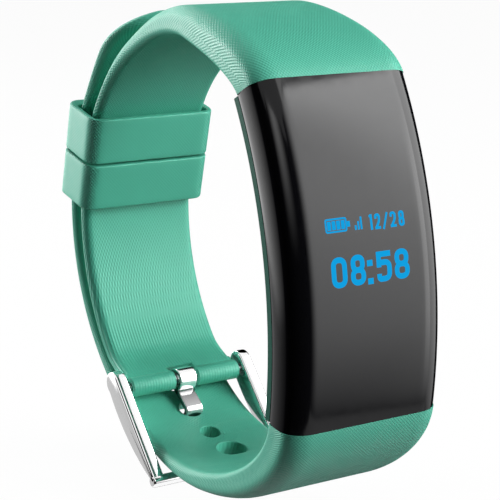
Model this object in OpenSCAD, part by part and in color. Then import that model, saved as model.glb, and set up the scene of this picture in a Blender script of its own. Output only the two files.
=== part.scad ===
// Fitness tracker band, fastened: a curved glossy module, two rubber straps, two keepers and a tang buckle.
// The origin is the middle of the wrist. +X runs along the forearm, the display faces -Y and +Z is up.
// Sizes are in millimetres and angles in degrees. Angles round the wrist start at +Y and grow towards +Z.

/* [Straps] */
// Radius of the buckle strap's outer face behind the wrist
loop_r = 27.3; // [26:0.1:29]
// How much further out the buckle strap runs over the top of the wrist
crown_rise = 1.2; // [0:0.1:2]
// Thickness of both straps behind the wrist
strap_t = 1.65; // [1.4:0.05:2.4]
// Thickness of both straps at the module
root_t = 4.5; // [3.8:0.1:5.2]
// How much narrower both straps are behind the wrist than at the module
strap_narrow = 4.5; // [3:0.1:6]
// Space between the two strap layers
layer_gap = 1.15; // [0.5:0.05:1.5]
// Length over which the straps thin and narrow
taper_len = 46; // [30:1:60]
// Angle round the wrist where the free tail ends
tip_a = 61; // [54:1:70]
// How far the free tail stands off above the keepers
tail_lift = 0.9; // [0:0.1:1.5]
// How far the holed strap comes in towards the wrist below the buckle
buckle_drop = 1.35; // [0.8:0.1:2]

/* [Adjustment holes] */
// Diameter of the holes
hole_d = 3.8; // [3.6:0.1:4.6]
// Angle round the wrist from hole to hole
hole_step = 11; // [11:0.5:15]
// Number of holes
hole_count = 12; // [4:1:12]
// Angle round the wrist of the hole that the tang is in
tang_hole_a = -61.5; // [-63:0.5:-60]

/* [Module] */
// Width of the cover and of the strap roots
cover_w = 20.5; // [18:0.1:24]
// Radius of the cover's bowed front
cover_r = 62.5; // [50:0.5:80]
// Half of the angle that the cover spans
cover_half = 17.7; // [16:0.1:20]
// Angle by which the module leans back
cover_tilt = 10.2; // [4:0.1:16]
// Depth of the cover's sides
cover_side = 4.25; // [3.6:0.05:4.4]
// Wall of the cover
cover_wall = 1.2; // [0.8:0.1:1.4]
// Rounding of the cover's long edges
cover_round = 2.4; // [1.6:0.1:3]
// Depth of the whole module at its middle
module_t = 9.6; // [9.2:0.1:11]
// Wall of the rear shell
shell_wall = 1; // [0.8:0.1:1.2]

/* [Keepers] */
// Length of each keeper along the strap
keeper_len = 6; // [4:0.1:8]
// Depth of each keeper across both strap layers
keeper_depth = 7.8; // [7:0.1:9]
// Outer wall of the keepers over the tail
keeper_wall = 0.85; // [0.7:0.05:1.4]
// Side wall of the keepers
keeper_side = 0.75; // [0.6:0.05:1.5]
// Rounding of the keepers' long edges
keeper_round = 1.3; // [0.6:0.1:1.5]
// Space between the keepers and the straps
keeper_clear = 0.3; // [0.25:0.05:0.5]
// Space between the two keepers
keeper_gap = 0.3; // [0.25:0.05:1]
// Angle round the wrist of the middle of the two keepers
keeper_a = 16.9; // [8:0.1:20]
// Angle at which the two keepers lean forward
keeper_lean = 14; // [8:0.1:20]

/* [Buckle] */
// How far the spring bar lies inside the buckle strap's outer face
bar_in = 2.25; // [2:0.05:2.6]
// Angle round the wrist of the spring bar
bar_a = -54.1; // [-55:0.1:-53]
// Outer radius of the spring bar's tube
tube_r = 0.65; // [0.6:0.05:0.8]
// Outer radius of the strap's sleeve round the bar
sleeve_r = 1.25; // [1.2:0.05:1.5]
// Width of the sleeve's notch for the tang
notch_w = 3.3; // [3.2:0.1:4.5]
// Distance from the spring bar to the far bar
frame_len = 13.1; // [12.8:0.1:14]
// Radius of the far bar
far_bar_r = 0.75; // [0.6:0.05:0.8]
// Thickness of the frame's arms
arm_t = 1.6; // [1.2:0.1:2]
// Space between the strap and the frame's arms
arm_clear = 0.45; // [0.4:0.05:0.8]
// Width of the tang
tang_w = 2.4; // [2:0.1:2.6]
// Thickness of the tang
tang_t = 0.75; // [0.6:0.05:0.8]
// Radial clearance of the turning fits
turn_clear = 0.08; // [0.05:0.01:0.1]

/* [Hidden] */
$fn = 64;
// Fineness of the large bows
bow_fn = 720;

rubber = [0.27, 0.66, 0.55];
black = [0.03, 0.03, 0.035];
steel = [0.8, 0.8, 0.82];
board_green = [0.05, 0.25, 0.15];
chip_grey = [0.12, 0.12, 0.13];
gold = [0.85, 0.68, 0.3];

// Width of both straps behind the wrist
strap_w = cover_w - strap_narrow;
// Outer radius of the holed strap where it lies over the buckle strap
tail_r = loop_r + layer_gap + strap_t;
// How much nearer the cover is to the middle of the wrist than the straps, and how low its bow is centred
cover_near = 2;
cover_low = 7.4;
// Centre of the cover's bow, as Y and Z
bow = [cover_r + cover_near - loop_r, -cover_low];
top_a = cover_tilt + cover_half;
low_a = cover_tilt - cover_half;
// Angles round the wrist where the straps' roots run into the round of the loop
upper_meet = 92;
lower_meet = -95;
// Reaches of the roots' curves at the module and at the round of the loop
upper_reach = [4.8, 3.9];
lower_reach = [6.7, 11.5];
// Rough lengths of the roots, used for the taper
upper_root_len = 18.8;
lower_root_len = 27.5;
// Angle round the wrist where the buckle strap begins to rise over the top, and the angle that it takes
crown_turn = 60;
crown_span = 32;
// Angle round the wrist where the buckle strap turns off to its sleeve
sleeve_turn = -40;
// Angle round the wrist where the holed strap begins to come in, and the angle that it takes
drop_turn = 14;
drop_span = 90;
// Angle round the wrist where the tail begins to stand off, and the angle that it takes
lift_turn = 33;
lift_span = 22;
// Angle that the rounded end of the tail takes up
tip_span = 16;
bar_r = loop_r - bar_in;
bar = bar_r*[cos(bar_a), sin(bar_a)];
sleeve_drop = bar_in - strap_t/2;
// Angle round the wrist where the flat of the buckle strap ends inside its sleeve
sleeve_a = bar_a + 1.7;
// Direction of the frame from the spring bar, as an angle from +Y towards +Z
frame_a = 225.5;
arm_in = strap_w/2 + arm_clear;
arm_out = arm_in + arm_t;
tang_run = tang_t/2 + tube_r + turn_clear;
// Radius of the notch round the tang's curl
notch_r = tang_run + tang_t/2 + 0.35;
pin_r = 0.34;
// Inner radius of the spring bar's tube, and distance from the middle to the ends of its spring
tube_in = tube_r - 0.15;
spring_end = arm_in - 2.45;
// Half of the module's length, and the stretch of the pieces inside it, which is 1 at a half length of 19
half_len = cover_r*sin(cover_half);
run = half_len/19;
// Radius of the motor, and its place from the frame's lower end and from the inside of the cover
motor_r = 1.8;
motor_z = -11*run - motor_r - 0.4;
motor = [cover_wall + cover_r - sqrt(cover_r*cover_r - motor_z*motor_z) + motor_r + 0.54, motor_z];
panel_front = 2.8;
panel_back = 4.1;
board_front = 4.6;
board_back = 5.4;
rear_bow = 120;
rear_in = module_t - shell_wall;
sensor_back = rear_in - 0.6;
sensor_front = sensor_back - 0.6;
battery_back = rear_in - 1;
sensor_z = -4.2*run;
window_r = 3.6;
contact_z = -9*run;
contact_x = 2.6;
contact_r = 0.8;
// Angle that the shell's end walls take up, and depth of the shell's band under the cover
end_wall = 1.15;
shell_band = 1.2;
// Depth of the seam under the cover, and the space on both sides of the seal in it
seal_t = 0.4;
seal_gap = 0.02;
cover_rim = cover_r - cover_side;
cover_in = cover_w/2 - cover_wall;
tongue = [12, 1.6, 3];

function ease(t) = let (u = min(1, max(0, t))) u*u*(3 - 2*u);
function mix(a, b, f) = a + (b - a)*f;
function polar(r, a) = r*[cos(a), sin(a)];
function on_cover(a) = bow + cover_r*[-cos(a), sin(a)];
function unit(v) = v/norm(v);
// Point and direction on a curve with four control points
function bez(p, t) = pow(1 - t, 3)*p[0] + 3*t*pow(1 - t, 2)*p[1] + 3*t*t*(1 - t)*p[2] + pow(t, 3)*p[3];
function bez_way(p, t) = unit(pow(1 - t, 2)*(p[1] - p[0]) + 2*t*(1 - t)*(p[2] - p[1]) + t*t*(p[3] - p[2]));
// Outer radii of the two straps at an angle round the wrist
function upper_r(a) = loop_r + crown_rise*ease((a - crown_turn)/crown_span)
    - sleeve_drop*ease((sleeve_turn - a)/(sleeve_turn - bar_a));
function lower_r(a) = tail_r - buckle_drop*ease((drop_turn - a)/drop_span)
    + tail_lift*ease((a - lift_turn)/lift_span);

// Control points of the two roots' outer faces
upper_root = [on_cover(top_a),
    on_cover(top_a) + upper_reach[0]*[sin(top_a), cos(top_a)],
    polar(upper_r(upper_meet), upper_meet) - upper_reach[1]*[sin(upper_meet), -cos(upper_meet)],
    polar(upper_r(upper_meet), upper_meet)];
lower_root = [on_cover(low_a),
    on_cover(low_a) - lower_reach[0]*[sin(low_a), cos(low_a)],
    polar(lower_r(lower_meet), lower_meet) + lower_reach[1]*[sin(lower_meet), -cos(lower_meet)],
    polar(lower_r(lower_meet), lower_meet)];

// Stations along a strap: point on the outer face, outward direction, distance from the module
// and distance to the tip
root_n = 9;
arc_n = 34;
tip_n = 6;
// Rows of the holed strap that line up with its holes
row_step = hole_step/4;
first_row = ceil((lower_meet + 0.8 - tang_hole_a)/row_step);
last_row = floor((tip_a - tip_span - 0.8 - tang_hole_a)/row_step);
upper_stations = concat(
    [for (i = [0:root_n]) let (t = i/root_n, w = bez_way(upper_root, t))
        [bez(upper_root, t), [-w[1], w[0]], t*upper_root_len, 99]],
    [for (i = [1:arc_n]) let (a = mix(upper_meet, sleeve_a, i/arc_n))
        [polar(upper_r(a), a), polar(1, a), upper_root_len + (upper_meet - a)*loop_r*PI/180, 99]]);
function tail_station(a) = [polar(lower_r(a), a), polar(1, a),
    lower_root_len + (a - lower_meet)*tail_r*PI/180, (tip_a - a)*tail_r*PI/180];
lower_stations = concat(
    [for (i = [0:root_n]) let (t = i/root_n, w = bez_way(lower_root, t))
        [bez(lower_root, t), [w[1], -w[0]], t*lower_root_len, 99]],
    [for (k = [first_row:last_row]) tail_station(tang_hole_a + row_step*k)],
    [for (i = [0:tip_n]) tail_station(tip_a - tip_span + tip_span*sin(84*i/tip_n))]);

// One round of points about a station, as width and depth from the outer face
corner_n = 5;
function corner(q, cx, cd, rx, rd) = [cx + rx*cos(q), cd - rd*sin(q)];
function ring(w, t, rx, rd, ri) = concat(
    [for (k = [0:corner_n]) corner(90*k/corner_n, w/2 - rx, rd, rx, rd)],
    [for (k = [0:corner_n]) corner(90 + 90*k/corner_n, rx - w/2, rd, rx, rd)],
    [for (k = [0:corner_n]) corner(180 + 90*k/corner_n, ri - w/2, t - ri, ri, ri)],
    [for (k = [0:corner_n]) corner(270 + 90*k/corner_n, w/2 - ri, t - ri, ri, ri)]);
function tip_width(d) = let (f = max(0, 1 - d/(strap_w/2))) sqrt(1 - f*f);
function station_ring(s) = let (
    f = ease(s[2]/taper_len),
    w = mix(cover_w, strap_w, f)*tip_width(s[3]),
    rx = min(mix(cover_round + 0.5, 0.9, f), w*0.4))
    ring(w, mix(root_t, strap_t, f), rx, mix(1.9, 0.75, f), min(mix(1.2, 0.75, f), w*0.4));

// Skin over the stations; hand is 1 or -1 for the way round that the strap runs
module strap_skin(stations, hand) {
    m = 4*(corner_n + 1);
    n = len(stations);
    points = [for (s = stations) for (p = station_ring(s))
        [hand*p[0], s[0][0] - s[1][0]*p[1], s[0][1] - s[1][1]*p[1]]];
    flats = [corner_n, 3*corner_n + 2];
    quad = [[0, 0], [1, 0], [1, 1], [0, 1]];
    sides = [for (i = [0:n - 2]) for (k = [0:m - 1])
        for (f = len(search(k, flats)) > 0 ? [[0, 1, 2, 3]] : [[0, 1, 2], [0, 2, 3]])
            [for (c = f) (i + quad[c][0])*m + (k + quad[c][1])%m]];
    ends = [[for (k = [0:m - 1]) k], [for (k = [m - 1:-1:0]) (n - 1)*m + k]];
    polyhedron(points, concat(sides, ends), convexity = 8);
}

// Places with the module's own axes: Y into the module from the middle of its front, Z along it
module in_module() {
    translate([0, bow[0], bow[1]])
        rotate([-cover_tilt, 0, 0])
            translate([0, -cover_r, 0])
                children();
}

// Turns a flat shape, drawn as radius and width, about the cover's bow from one angle to another
module bowed(from, to) {
    translate([0, cover_r, 0])
        rotate([90, 0, -90])
            rotate([0, 0, from])
                rotate_extrude(angle = to - from, $fn = bow_fn)
                    children();
}

// Cylinder along X at a depth and height of the module
module along_x(at, r, x0, x1, fn = 64) {
    translate([x0, at[0], at[1]])
        rotate([0, 90, 0])
            cylinder(h = x1 - x0, r = r, $fn = fn);
}

// Cylinder along Y in the module
module along_y(x, z, r, y0, y1) {
    translate([x, y0, z])
        rotate([-90, 0, 0])
            cylinder(h = y1 - y0, r = r);
}

// Block between two corners
module block(a, b) {
    translate(a)
        cube(b - a);
}

// Block in the module that is stretched along it
module fitted(a, b) {
    block([a[0], a[1], run*a[2]], [b[0], b[1], run*b[2]]);
}

// Section of the cover, drawn as radius and width and shrunk by an inset
module cover_section(inset, foot) {
    half = cover_w/2 - inset;
    round_r = cover_round - inset;
    lip = cover_r - cover_round;
    translate([foot, -half])
        square([lip - foot, 2*half]);
    translate([lip, round_r - half])
        square([round_r, 2*(half - round_r)]);
    for (side = [-1, 1])
        translate([lip, side*(half - round_r)])
            circle(r = round_r);
}

module front_cover() {
    color(black)
        in_module()
            difference() {
                bowed(-cover_half, cover_half)
                    cover_section(0, cover_rim);
                bowed(-cover_half - 1, cover_half + 1)
                    cover_section(cover_wall, cover_rim - 1);
            }
}

module optical_pad() {
    color([0.1, 0.1, 0.12])
        in_module()
            intersection() {
                along_x([cover_r, 0], cover_r - cover_wall, -6.5, 6.5, bow_fn);
                fitted([-7, 0, -9.5], [7, panel_front, 13]);
            }
}

module display_panel() {
    color([0.02, 0.02, 0.05])
        in_module()
            fitted([-7, panel_front, -10], [7, panel_back, 13.5]);
}

module display_flex() {
    color([0.55, 0.35, 0.1])
        in_module()
            union() {
                fitted([-3, panel_front + 0.4, -10.5], [3, board_back + 0.2, -10.3]);
                fitted([-3, panel_front + 0.4, -10.4], [3, panel_front + 0.6, -10]);
                fitted([-3, board_back, -10.4], [3, board_back + 0.2, -8.6]);
            }
}

module touch_pad() {
    color(gold)
        in_module()
            bowed(2.2 - cover_half, 6.2 - cover_half)
                translate([cover_r - cover_wall - 0.1, -4])
                    square([0.1, 8]);
}

module inner_frame() {
    color([0.2, 0.2, 0.22])
        in_module()
            difference() {
                union() {
                    fitted([-7.6, panel_back, -11], [7.6, board_front, 15.5]);
                    fitted([-cover_in, panel_back, -11], [cover_in, panel_back + 0.2, 15.5]);
                }
                fitted([-3.4, panel_back - 1, -10.7], [3.4, board_front + 1, -10]);
                fitted([-5, panel_back - 1, 2], [5, board_front + 1, 11]);
            }
}

module main_board() {
    color(board_green)
        in_module()
            fitted([-7.5, board_front, -9.8], [7.5, board_back, 15.5]);
}

module processor_chip() {
    color(chip_grey)
        in_module()
            fitted([-6.5, board_back, -5.8], [-1.5, board_back + 0.9, -0.8]);
}

module radio_chip() {
    color(chip_grey)
        in_module()
            fitted([2.6, board_back, -2.9], [5.6, board_back + 0.8, 0.1]);
}

module motion_sensor() {
    color(chip_grey)
        in_module()
            fitted([2.8, board_back, -6.2], [5.3, board_back + 0.9, -3.7]);
}

module board_passives() {
    color([0.6, 0.5, 0.35])
        in_module()
            for (i = [0:4])
                fitted([-0.8, board_back, -5.6 + 1.1*i], [0.2, board_back + 0.5, -5.1 + 1.1*i]);
}

module antenna_strip() {
    color(gold)
        in_module()
            fitted([-6, board_back, 14.4], [6, board_back + 0.3, 15.4]);
}

module board_connector() {
    color([0.85, 0.83, 0.78])
        in_module()
            fitted([-3, board_back, -8.2], [3, sensor_front, -6.8]);
}

module battery_cell() {
    color([0.7, 0.71, 0.74])
        in_module()
            fitted([-5.3, board_back + 0.2, 0.4], [5.3, battery_back, 13.9]);
}

module battery_tape() {
    color([0.15, 0.15, 0.15])
        in_module()
            fitted([-4.8, board_back, 1.2], [4.8, board_back + 0.2, 13.4]);
}

module battery_leads() {
    color(gold)
        in_module()
            for (x = [0.7, 1.8])
                fitted([x - 0.3, board_back, -1], [x + 0.3, board_back + 0.4, 0.4]);
}

module motor_can() {
    color(steel)
        in_module()
            difference() {
                along_x(motor, motor_r, -6, 2);
                along_x(motor, pin_r + turn_clear, 0, 3);
            }
}

module motor_boot() {
    color([0.1, 0.1, 0.1])
        in_module()
            difference() {
                union() {
                    along_x(motor, motor_r + 0.3, -5.4, 1.4);
                    block([-5.4, motor[0] - 1.2, motor[1]], [1.4, motor[0] + 1.2, -11*run]);
                }
                along_x(motor, motor_r, -7, 3);
            }
}

module motor_weight() {
    color([0.45, 0.45, 0.48])
        in_module()
            union() {
                along_x(motor, pin_r, 0.4, 5.6);
                intersection() {
                    along_x(motor, motor_r - 0.2, 2.5, 5.5);
                    block([2, motor[0] - 3, motor[1] - 3], [6, motor[0] + 3, motor[1] + 0.3]);
                }
            }
}

module sensor_board() {
    color(board_green)
        in_module()
            fitted([-4.6, sensor_front, -10.2], [4.6, sensor_back, -0.2]);
}

module sensor_leds() {
    color([0.6, 0.9, 0.6])
        in_module()
            for (x = [-2.3, 2.3])
                translate([x - 0.7, sensor_back, sensor_z - 0.8])
                    cube([1.4, 0.35, 1.6]);
}

module photodiode() {
    color([0.1, 0.1, 0.2])
        in_module()
            block([-1.1, sensor_back, sensor_z - 1.1], [1.1, sensor_back + 0.35, sensor_z + 1.1]);
}

module sensor_window() {
    color([0.04, 0.04, 0.05])
        in_module()
            along_y(0, sensor_z, window_r, rear_in - 0.1, module_t);
}

module charging_contacts() {
    color(gold)
        in_module()
            for (x = [-contact_x, contact_x])
                along_y(x, contact_z, contact_r, sensor_back, module_t - 0.3);
}

module case_seals() {
    color([0.12, 0.12, 0.12])
        in_module()
            bowed(-cover_half, cover_half)
                for (x = [-cover_in - 0.8, cover_in])
                    translate([cover_rim - seal_t + seal_gap, x])
                        square([seal_t - 2*seal_gap, 0.8]);
}

// Rounded rear of the module as one solid, shrunk by an inset
module rear_form(inset) {
    edge = 4;
    middle = 4.9;
    stop = cover_half - end_wall*inset;
    intersection() {
        bowed(-stop, stop)
            translate([cover_r - 14, -cover_w/2])
                square([14 - cover_side - seal_t + inset/2, cover_w]);
        translate([0, 0, -25])
            linear_extrude(50)
                union() {
                    translate([-middle, 0])
                        square([2*middle, module_t - inset]);
                    for (side = [-1, 1])
                        translate([side*middle, module_t - edge])
                            circle(r = edge - inset);
                    translate([inset - middle - edge, 0])
                        square([2*(middle + edge - inset), module_t - edge]);
                }
        along_x([module_t - rear_bow, 0], rear_bow - inset, -12, 12, 2*bow_fn);
    }
}

// Tongue that the strap is moulded on, at the upper (1) or lower (-1) end of the module
module strap_tongue(end) {
    translate([0, cover_r, 0])
        rotate([-end*cover_half, 0, 0])
            translate([-tongue[0]/2, -cover_r + 1.8, end > 0 ? -0.3 : 0.3 - tongue[2]])
                cube(tongue);
}

module rear_shell() {
    rib = [0.6, 1.6, 7.6];
    wall_a = cover_half - end_wall;
    color(rubber*0.8)
        in_module()
            difference() {
                union() {
                    difference() {
                        union() {
                            rear_form(0);
                            bowed(-cover_half, cover_half)
                                translate([cover_rim - shell_band, 0.35 - cover_w/2])
                                    square([shell_band - seal_t, cover_w - 0.7]);
                        }
                        rear_form(shell_wall);
                    }
                    for (end = [-1, 1])
                        bowed(min(end*cover_half, end*wall_a), max(end*cover_half, end*wall_a))
                            cover_section(cover_wall + 0.12, cover_rim - shell_band);
                    for (end = [-1, 1])
                        strap_tongue(end);
                    intersection() {
                        rear_form(shell_wall/2);
                        for (side = [-1, 1])
                            translate([side*4.2 - rib[0]/2, sensor_back, sensor_z - rib[2]/2])
                                cube(rib);
                    }
                }
                along_y(0, sensor_z, window_r + 0.05, sensor_back, module_t + 1);
                for (x = [-contact_x, contact_x])
                    along_y(x, contact_z, contact_r + 0.05, sensor_back, module_t + 1);
            }
}

// Cylinder along X centred on the spring bar
module on_bar(r, x0, x1) {
    along_x(bar, r, x0, x1);
}

module strap_upper() {
    color(rubber)
        difference() {
            union() {
                strap_skin(upper_stations, -1);
                on_bar(sleeve_r, -strap_w/2 + 0.1, strap_w/2 - 0.1);
            }
            on_bar(tube_r + turn_clear, -strap_w, strap_w);
            on_bar(notch_r, -notch_w/2, notch_w/2);
            in_module()
                strap_tongue(1);
        }
}

module strap_lower() {
    color(rubber)
        difference() {
            strap_skin(lower_stations, 1);
            for (i = [0:hole_count - 1])
                rotate([tang_hole_a + hole_step*(i - 2), 0, 0])
                    rotate([0, 20, 0])
                        along_y(0, 0, hole_d/2, loop_r - 6, tail_r + 6);
            in_module()
                strap_tongue(-1);
        }
}

// Flat shape with rounded corners about the origin
module rounded(w, d, r) {
    square([w - 2*r, d], center = true);
    square([w, d - 2*r], center = true);
    for (x = [-1, 1])
        for (y = [-1, 1])
            translate([x*(w/2 - r), y*(d/2 - r)])
                circle(r = r);
}

// One keeper from its lower to its upper end along the strap, with a slot bowed like the straps
module keeper(low, high) {
    slot_in = loop_r - strap_t - keeper_clear;
    slot_out = tail_r + keeper_clear;
    centre_r = slot_out + keeper_wall - keeper_depth/2;
    slot_w = strap_w + 2*keeper_clear;
    difference() {
        translate([0, centre_r*cos(keeper_a), centre_r*sin(keeper_a)])
            rotate([keeper_lean, 0, 0])
                translate([0, 0, low])
                    linear_extrude(high - low)
                        rounded(slot_w + 2*keeper_side, keeper_depth, keeper_round);
        rotate([90, 0, 90])
            rotate_extrude($fn = bow_fn)
                translate([(slot_in + slot_out)/2, 0])
                    rounded(slot_out - slot_in, slot_w, 0.6);
    }
}

module keeper_upper() {
    color(rubber)
        keeper(keeper_gap/2, keeper_gap/2 + keeper_len);
}

module keeper_lower() {
    color(rubber)
        keeper(-keeper_gap/2 - keeper_len, -keeper_gap/2);
}

module bar_tube() {
    color(steel)
        difference() {
            on_bar(tube_r, 0.25 - arm_in, arm_in - 0.25);
            on_bar(tube_in, 0.6 - arm_in, arm_in - 0.6);
            on_bar(pin_r + turn_clear, -arm_in, arm_in);
        }
}

module bar_spring() {
    color([0.5, 0.5, 0.52])
        difference() {
            on_bar(tube_in - 0.06, -spring_end, spring_end);
            on_bar(tube_in - 0.2, -arm_in, arm_in);
        }
}

// Tip of the spring bar, for the side at +X (1) or -X (-1)
module bar_tip(side) {
    mirror([side > 0 ? 0 : 1, 0, 0])
        union() {
            on_bar(tube_in - 0.04, spring_end, arm_in - 0.65);
            on_bar(pin_r, spring_end, arm_in + 0.9);
        }
}

module bar_tip_near() {
    color(steel)
        bar_tip(-1);
}

module bar_tip_far() {
    color(steel)
        bar_tip(1);
}

// Places with the buckle's own axes: Y from the spring bar along the frame, Z away from the wrist
module in_buckle() {
    translate([0, bar[0], bar[1]])
        rotate([frame_a, 0, 0])
            children();
}

// Side of one arm, drawn as distance along the frame and height
module arm_side() {
    intersection() {
        translate([3.6, 1.85 - 26])
            circle(r = 26, $fn = 200);
        translate([-1, -1.42])
            rotate(2.8)
                square([frame_len + 1.4, 4]);
    }
    translate([-1, 0.1])
        circle(r = 1.5);
}

module buckle_frame() {
    color(steel)
        in_buckle()
            difference() {
                union() {
                    for (x = [-arm_out, arm_in])
                        translate([x, 0, 0])
                            rotate([90, 0, 90])
                                linear_extrude(arm_t)
                                    arm_side();
                    along_x([frame_len, -0.05], far_bar_r, -arm_out, arm_out);
                }
                along_x([0, 0], pin_r + turn_clear, -arm_in - 1.1, arm_in + 1.1);
            }
}

// Points of a bend at a corner between two other points, with straight runs up to a distance from it
bend_n = 6;
function bend(from, at, to, d) = let (a = at + d*unit(from - at), b = at + d*unit(to - at))
    [for (i = [0:bend_n]) let (t = i/bend_n) (1 - t)*(1 - t)*a + 2*t*(1 - t)*at + t*t*b];
// Way of a path at one of its points, and the points beside it
function way_at(path, i) = unit(path[min(i + 1, len(path) - 1)] - path[max(i - 1, 0)]);
function beside(path, d) = [for (i = [0:len(path) - 1]) let (w = way_at(path, i))
    path[i] + d*[-w[1], w[0]]];

module buckle_tang() {
    start = [0.2, tang_run - 0.25];
    bend_in = [4.45, 0.42];
    bend_out = [4.85, 3.3];
    tip = [frame_len + 1, 1.15];
    path = concat([start], bend(start, bend_in, bend_out, 0.8), bend(bend_in, bend_out, tip, 0.9), [tip]);
    lower_side = beside(path, -tang_t/2);
    upper_side = beside(path, tang_t/2);
    color(steel)
        in_buckle()
            difference() {
                union() {
                    along_x([0, 0], tang_run + tang_t/2, -tang_w/2, tang_w/2);
                    translate([-tang_w/2, 0, 0])
                        rotate([90, 0, 90])
                            linear_extrude(tang_w)
                                polygon(concat(lower_side,
                                    [for (i = [len(path) - 1:-1:0]) upper_side[i]]));
                }
                along_x([0, 0], tube_r + turn_clear, -tang_w, tang_w);
            }
}

front_cover();
optical_pad();
display_panel();
display_flex();
touch_pad();
inner_frame();
main_board();
processor_chip();
radio_chip();
motion_sensor();
board_passives();
antenna_strip();
board_connector();
battery_cell();
battery_tape();
battery_leads();
motor_can();
motor_boot();
motor_weight();
sensor_board();
sensor_leds();
photodiode();
sensor_window();
charging_contacts();
case_seals();
rear_shell();
strap_upper();
strap_lower();
keeper_upper();
keeper_lower();
bar_tube();
bar_spring();
bar_tip_near();
bar_tip_far();
buckle_frame();
buckle_tang();
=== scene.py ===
import math

import bmesh
import bpy
import numpy as np
from mathutils import Matrix, Vector


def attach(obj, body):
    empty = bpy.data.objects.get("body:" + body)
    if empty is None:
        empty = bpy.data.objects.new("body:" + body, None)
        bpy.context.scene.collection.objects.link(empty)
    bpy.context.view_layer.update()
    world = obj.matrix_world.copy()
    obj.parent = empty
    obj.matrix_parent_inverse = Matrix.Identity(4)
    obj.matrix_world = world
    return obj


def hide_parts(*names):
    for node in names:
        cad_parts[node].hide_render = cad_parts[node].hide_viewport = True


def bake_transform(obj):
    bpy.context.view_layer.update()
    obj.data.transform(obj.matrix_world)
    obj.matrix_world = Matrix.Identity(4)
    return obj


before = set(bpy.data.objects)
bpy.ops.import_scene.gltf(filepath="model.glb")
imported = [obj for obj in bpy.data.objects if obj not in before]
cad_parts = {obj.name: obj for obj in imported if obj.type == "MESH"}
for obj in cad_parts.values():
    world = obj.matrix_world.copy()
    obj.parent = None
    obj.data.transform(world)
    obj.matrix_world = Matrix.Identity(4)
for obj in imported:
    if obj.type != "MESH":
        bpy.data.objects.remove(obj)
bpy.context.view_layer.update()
mm = 0.001
meshing = dict(weld=2e-7, sharp=38.0, plainStep=0.2, lipSteps=6, tiny=1e-12)
print("frame loaded:", len(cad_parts), "nodes")


# curves and small formulas, in millimetres and degrees

def ease(t):
    u = np.clip(t, 0, 1)
    return u * u * (3 - 2 * u)  # smooth step from 0 to 1


def mix(a, b, f):
    return a + (b - a) * f


def polar(r, a):
    return np.stack([r * np.cos(np.radians(a)), r * np.sin(np.radians(a))], -1)


def unit(v):
    return v / np.linalg.norm(v, axis=-1, keepdims=True)


def join(*parts, axis=0):
    return np.concatenate(parts, axis)


def lengthAlong(p):
    step = np.linalg.norm(np.diff(p, axis=0), axis=-1)
    return join([0], np.cumsum(step))


def bezier(p, t):
    # cubic curve from the first of four control points to the last, and its unit direction
    t = t[:, None]
    at = (1 - t) ** 3 * p[0] + 3 * t * (1 - t) ** 2 * p[1] + 3 * t * t * (1 - t) * p[2] + t ** 3 * p[3]
    way = (1 - t) ** 2 * (p[1] - p[0]) + 2 * t * (1 - t) * (p[2] - p[1]) + t * t * (p[3] - p[2])
    return at, unit(way)


def quarter(steps=meshing["lipSteps"]):
    # angles of a quarter turn, in radians
    return np.radians(np.linspace(0, 90, steps))


def leftOf(way):
    return np.stack([-way[:, 1], way[:, 0]], 1)


def shut(loop):
    # the loop with its first row again at the end
    return join(loop, loop[:1])


def uvGrid(u, v):
    return np.stack(np.broadcast_arrays(u[:, None], v[None]), -1)


# meshes: every piece is made of patches, which are grids of points

def patch(points, uv=None, closed=False, keep=None):
    # quads over a rows x columns grid; closed joins the last column to the first, keep drops quads
    n, m = points.shape[:2]
    i, j = np.meshgrid(np.arange(n - 1), np.arange(m if closed else m - 1), indexing="ij")
    if keep is not None:
        i, j = i[keep], j[keep]
    around = [(0, 0), (0, 1), (1, 1), (1, 0)]
    quads = np.stack([((i + a) * m + (j + b) % m).ravel() for a, b in around], 1)
    if uv is None:
        uv = uvGrid(np.arange(n) * meshing["plainStep"], np.arange(m + 1) * meshing["plainStep"])
    corners = np.stack([uv[i + a, j + b].reshape(-1, 2) for a, b in around], 1)
    return dict(points=points.reshape(-1, 3), quads=quads, uv=corners)


def cap(ring):
    # fan from a closed ring of points to its middle
    middle = np.broadcast_to(ring.mean(0), ring.shape)
    return patch(np.stack([ring, middle]), closed=True)


def capped(rings, uv=None, keep=None):
    # a tube of closed rings with both ends shut
    return [patch(rings, uv, True, keep), cap(rings[0]), cap(rings[-1])]


def addThing(name, data):
    thing = bpy.data.objects.new(name, data)
    bpy.context.scene.collection.objects.link(thing)
    return thing


def setRelief(mesh, relief):
    # depth of the ribs at each point, from how far its normal turns sideways and from its place
    normals = np.empty(len(mesh.vertices) * 3, np.float32)
    places = np.empty_like(normals)
    mesh.vertices.foreach_get("normal", normals)
    mesh.vertices.foreach_get("co", places)
    depths = relief(abs(normals[::3]), places.reshape(-1, 3) / mm).astype(np.float32)
    mesh.attributes.new("relief", "FLOAT", "POINT").data.foreach_set("value", depths)


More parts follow.
